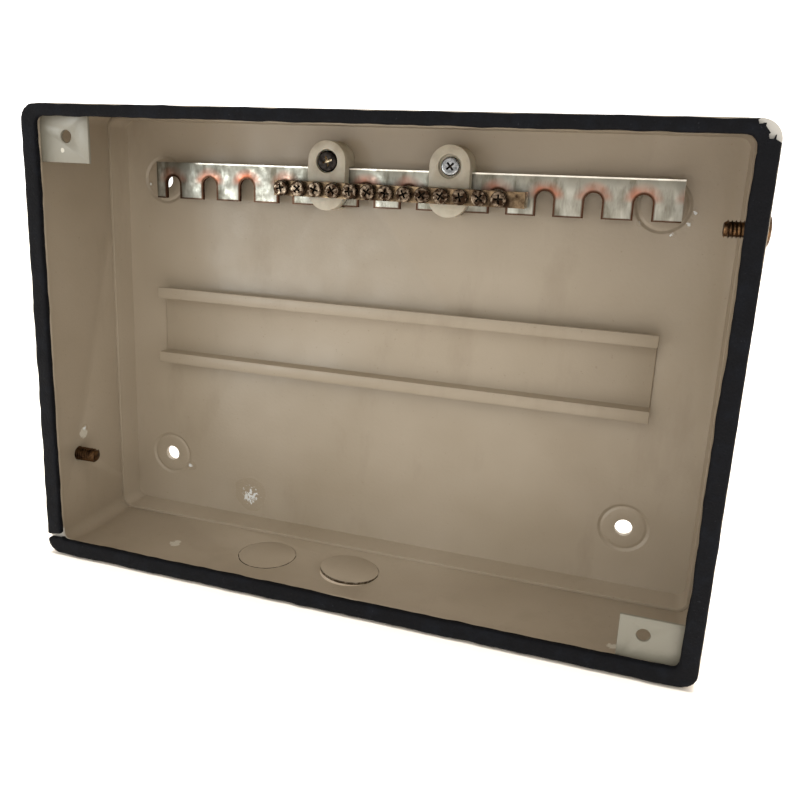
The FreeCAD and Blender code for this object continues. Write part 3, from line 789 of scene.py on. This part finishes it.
def innerHalf(strip):
    # weights that keep the outer edge of the foam still while its inner edge wanders
    group = strip.vertex_groups.new(name="innerEdge")
    for vert in strip.data.vertices:
        at = vert.co
        depth = min(at.x - ringLow.x, ringHigh.x - at.x, at.z - ringLow.z, ringHigh.z - at.z)
        weight = (depth - 0.3 * ringWidth) / (0.7 * ringWidth)
        group.add([vert.index], min(1, max(0, weight)), "REPLACE")
    return group.name


for node, name in gasketNames.items():
    strip = copyOfNode(node, name)
    low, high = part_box(node)
    if node in ("gasket_left", "gasket_right"):
        lower = gasket["cornerReach" if node == "gasket_left" else "jointReach"]
        slide(strip, lambda at: at.z < low.z + 0.1 * mm, (0, 0, -lower))
        slide(strip, lambda at: at.z > high.z - 0.1 * mm, (0, 0, gasket["jointReach"]))
    if node == "gasket_bottom":
        slide(strip, lambda at: at.x < 0 and at.z > high.z - 0.1 * mm, (0, 0, -gasket["cornerCut"]))
    spreadInwards(strip)
    applied(strip, "REMESH", mode="VOXEL", voxel_size=gasket["voxel"] * mm)
    applied(strip, "SMOOTH", factor=0.5, iterations=gasket["rounding"])
    across = "Z" if node in ("gasket_top", "gasket_bottom") else "X"
    applied(strip, "DISPLACE", texture=waveTexture, texture_coords="LOCAL", direction=across,
            strength=gasket["innerWave"][1] * mm, mid_level=0.5, vertex_group=innerHalf(strip))
    applied(strip, "DISPLACE", texture=crumpleTexture, texture_coords="LOCAL",
            strength=gasket["crumple"][1] * mm, mid_level=0.85)
    if node == "gasket_top":
        cut(strip, joined([rod("bite", radius, 20, (x, low.y / mm, z), "Y", sides)
                           for x, z, radius, sides in gasket["bites"]]))
    strip.data.materials.append(rubber)
    smoothShaded(strip, 60)
    finishPiece(strip, "box", "foam_gasket", node)
print("gasket done")


def addComb(size):
    width, height = size["length"], size["high"] - size["low"]
    deselectAll()
    bpy.ops.mesh.primitive_grid_add(x_subdivisions=221, y_subdivisions=16, size=mm)  # faces of about 1 mm
    strip = bpy.context.object
    strip.name = strip.data.name = "combBusbar"
    strip.scale = (width, height, 1)
    strip.rotation_euler = (math.radians(90), 0, 0)
    middle = (size["left"] + width / 2, size["front"] + size["thick"], (size["low"] + size["high"]) / 2)
    strip.location = Vector(middle) * mm
    fixPlace(strip)
    enterEdit(strip)
    bpy.ops.mesh.select_all(action="SELECT")
    bpy.ops.mesh.extrude_region_move(TRANSFORM_OT_translate={"value": (0, -size["thick"] * mm, 0)})
    leaveEdit()
    outwards(strip)
    # an arch with its mouth for each way, all cut out together
    arch = size["notchTop"] - size["notchHalf"]
    cutters, through = [], 6
    for way in range(size["ways"]):
        x = size["firstNotch"] + way * size["pitch"]
        cutters.append(rod("notch", size["notchHalf"], through, (x, size["front"], arch), "Y", 48))
        cutters.append(block("mouth", (2 * size["notchHalf"], through, arch - size["low"] + 2),
                             (x, size["front"], (arch + size["low"] - 2) / 2)))
    cut(strip, joined(cutters))
    enterEdit(strip)
    bpy.ops.mesh.select_all(action="SELECT")
    bpy.ops.transform.rotate(value=math.radians(size["lean"]), orient_axis="Y",
                             center_override=(size["pivot"] * mm, 0, size["low"] * mm))
    leaveEdit()
    ripple = cloudTexture("toothRipple", size["ripple"][0])
    applied(strip, "DISPLACE", texture=ripple, texture_coords="LOCAL", direction="Y",
            strength=size["ripple"][1] * mm, mid_level=0.5)
    strip.data.materials.append(tinned)
    facesTo(strip, metal["oxidisedCopperEdge"], lambda middle, normal: abs(normal.y) < 0.6 and normal.z < 0.8)
    smoothShaded(strip, 40)
    return strip


finishPiece(addComb(comb), "comb", "tinned_copper", "comb_busbar")
print("comb done")


neutralBar = {"rounding": 0.3, "sawnPast": 56}  # mm

bar = softened("neutral_bar", "neutralBar", metal["machinedBrass"], neutralBar["rounding"], 2, 50)
facesTo(bar, metal["sawnBrassEnd"],
        lambda middle, normal: normal.x > 0.7 and middle.x > neutralBar["sawnPast"] * mm)
finishPiece(bar, "box", "brass_bar", "neutral_bar")


def addThread(name, radius, depth, pitch, length):
    # a three-sided ridge wound up the Z axis, open ends closed
    deselectAll()
    turns = max(1, round(length / pitch))
    quarter, size = math.radians(90), depth * 1.15  # the ridge is rooted a little way inside the core
    bpy.ops.mesh.primitive_circle_add(vertices=3, radius=size * mm, rotation=(quarter, quarter, 0),
                                      location=((radius - size) * mm, 0, 0))
    ridge = bpy.context.object
    ridge.name = ridge.data.name = name
    fixPlace(ridge)
    applied(ridge, "SCREW", axis="Z", angle=math.radians(360), screw_offset=pitch * mm, iterations=turns,
            steps=28, render_steps=28, use_merge_vertices=True, merge_threshold=0.001 * mm)
    enterEdit(ridge, "EDGE")
    bpy.ops.mesh.select_all(action="DESELECT")
    bpy.ops.mesh.select_non_manifold()
    bpy.ops.mesh.fill()
    leaveEdit()
    outwards(ridge)
    return ridge


def addScrew(name, size):
    # stands on the Z axis: underside of the head at 0, head above, shank below
    head = rod(name, size["headRadius"], size["headHeight"], (0, 0, size["headHeight"] / 2), "Z", 64)
    top = size["headHeight"] * mm
    enterEdit(head, "EDGE")
    pick("EDGE", lambda middle, along: middle.z > top * 0.98 and abs(along.z) < 0.5)
    bpy.ops.mesh.bevel(offset=size["dome"] * mm, segments=6, profile=0.6)
    leaveEdit()
    long, wide, deep = 2 * size["crossHalf"], size["crossWidth"], 2 * size["crossDepth"]
    cross = joined([block("arm", (long, wide, deep), (0, 0, size["headHeight"])),
                    block("arm", (wide, long, deep), (0, 0, size["headHeight"]))])
    enterEdit(cross)
    pick("FACE", lambda middle, normal: normal.z < -0.5)
    bpy.ops.transform.resize(value=(0.6, 0.6, 1), center_override=(0, 0, 0))
    leaveEdit()
    cut(head, cross)
    core = size["shankRadius"] - size["threadDepth"]
    shank = rod("shank", core, size["shankLength"], (0, 0, -size["shankLength"] / 2), "Z", 28)
    low = -size["shankLength"] * mm
    enterEdit(shank, "EDGE")
    pick("EDGE", lambda middle, along: middle.z < low * 0.98 and abs(along.z) < 0.5)
    bpy.ops.mesh.bevel(offset=0.3 * core * mm, segments=2)
    leaveEdit()
    threaded = size["shankLength"] - 1.4 * size["pitch"]
    thread = addThread("thread", size["shankRadius"], size["threadDepth"], size["pitch"], threaded)
    moved(thread, (0, 0, -size["shankLength"] + 0.5 * size["pitch"]))
    return joined([head, shank, thread])


def moved(piece, by):
    piece.location = Vector(by) * mm
    fixPlace(piece)


def placedCopy(screw, name, spin, axis, at):
    # a copy with its own mesh, spun in place and set with its head towards axis
    piece = screw.copy()
    piece.data = screw.data.copy()
    piece.name = piece.data.name = name
    scene.collection.objects.link(piece)
    piece.matrix_world = Matrix.Rotation(math.radians(spin), 4, "Z")
    fixPlace(piece)
    quarter = math.radians(90)
    piece.rotation_euler = {"-Y": (quarter, 0, 0), "+X": (0, quarter, 0), "-X": (0, -quarter, 0)}[axis]
    piece.location = Vector(at) * mm
    fixPlace(piece)
    smoothShaded(piece, 32)
    return piece


def darkenCross(screw, size, at, material):
    # the faces of the cross recess of a screw whose head looks towards -Y
    x, under, z = at
    reach, front = size["crossHalf"] * 1.05, under - size["headHeight"] + 0.12
    facesTo(screw, material, lambda middle, _: math.hypot(middle.x - x * mm, middle.z - z * mm) < reach * mm
            and front * mm < middle.y < under * mm)


# clamping screws of the neutral bar, in mm
terminalScrew = {
    "headRadius": 3.0, "headHeight": 1.9, "dome": 0.45, "crossHalf": 2.2, "crossWidth": 0.95, "crossDepth": 1.4,
    "shankRadius": 1.7, "threadDepth": 0.3, "pitch": 0.7, "shankLength": 5.3,
    "first": -40.8, "step": 7.4, "front": -20.2, "height": 64.7,
    "spins": (12, 47, -20, 33, 5, 61, -8, 25, 40, -31, 15, 52, 3),  # degrees, one for each
}
pattern = addScrew("screwPattern", terminalScrew)
for number, spin in enumerate(terminalScrew["spins"]):
    across = terminalScrew["first"] + number * terminalScrew["step"]
    at = (across, terminalScrew["front"], terminalScrew["height"])
    screw = placedCopy(pattern, "terminalScrew%02d" % (number + 1), spin, "-Y", at)
    screw.data.materials.append(metal["nickelledBrassScrew"])
    # painted shade in the cross recess
    darkenCross(screw, terminalScrew, at, metal["darkSlit"])
    finishPiece(screw, "terminal_%02d" % (number + 1), "nickel_screws", "terminal_screw_%02d" % (number + 1))
bpy.data.objects.remove(pattern)
print("terminal screws done")

# screws through the supports' ears, in mm: a black one and a bright one
supportScrews = {
    "left": {"headRadius": 4.2, "headHeight": 1.9, "dome": 0.9,
             "crossHalf": 2.6, "crossWidth": 1.1, "crossDepth": 1.3,
             "material": "blackOxideSteel", "cross": "wornSteel", "slot": "black_screw", "spin": 20},
    "right": {"headRadius": 3.6, "headHeight": 1.7, "dome": 0.8,
              "crossHalf": 2.3, "crossWidth": 1.0, "crossDepth": 1.2,
              "material": "brightZinc", "cross": "darkSlit", "slot": "zinc_screw", "spin": 40},
}
for side, size in supportScrews.items():
    low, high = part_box("support_screw_" + side)
    front, rear = low.y / mm, high.y / mm
    size.update(shankRadius=1.75, threadDepth=0.3, pitch=0.8, shankLength=rear - front - size["headHeight"])
    middle = (low + high) / 2 / mm
    at = (middle.x, front + size["headHeight"], middle.z)
    screw = placedCopy(addScrew("screwPattern", size), "supportScrew" + side.title(), size["spin"], "-Y", at)
    screw.data.materials.append(metal[size["material"]])
    # the cross recess: worn bare steel on the black screw, painted shade on the bright one
    darkenCross(screw, size, at, metal[size["cross"]])
    finishPiece(screw, "box", size["slot"], "support_screw_" + side)
    bpy.data.objects.remove(bpy.data.objects["screwPattern"])
print("support screws done")

# earth screws through the side walls, in mm, both of one pattern
earthScrews = {
    "right": {"axis": "+X", "y": -37.6, "z": 59.6, "spin": 10},
    "left": {"axis": "-X", "y": -44.3, "z": -54.3, "spin": 35},
}
earthScrew = {
    "headRadius": 5.5, "headHeight": 3.6, "dome": 2.1, "crossHalf": 2.8, "crossWidth": 1.2, "crossDepth": 1.6,
    "shankRadius": 3.0, "threadDepth": 0.55, "pitch": 1.25,
}
for side, seat in earthScrews.items():
    low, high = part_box("earth_screw_" + side)
    earthScrew["shankLength"] = (high.x - low.x) / mm - earthScrew["headHeight"]
    right, left = high.x / mm - earthScrew["headHeight"], low.x / mm + earthScrew["headHeight"]
    at = (right if side == "right" else left, seat["y"], seat["z"])
    screw = placedCopy(addScrew("screwPattern", earthScrew), "earthScrew" + side.title(),
                       seat["spin"], seat["axis"], at)
    screw.data.materials.append(metal["yellowZinc"])
    finishPiece(screw, "earth_" + side, "yellow_zinc", "earth_screw_" + side)
    bpy.data.objects.remove(bpy.data.objects["screwPattern"])
print("earth screws done")


supports = {"rounding": 0.45}  # mm

for side in ("left", "right"):
    holder = softened("bar_support_" + side, "barSupport" + side.title(), ivory, supports["rounding"], 3, 50)
    finishPiece(holder, "box", "ivory_plastic", "bar_support_" + side)
print("supports done")
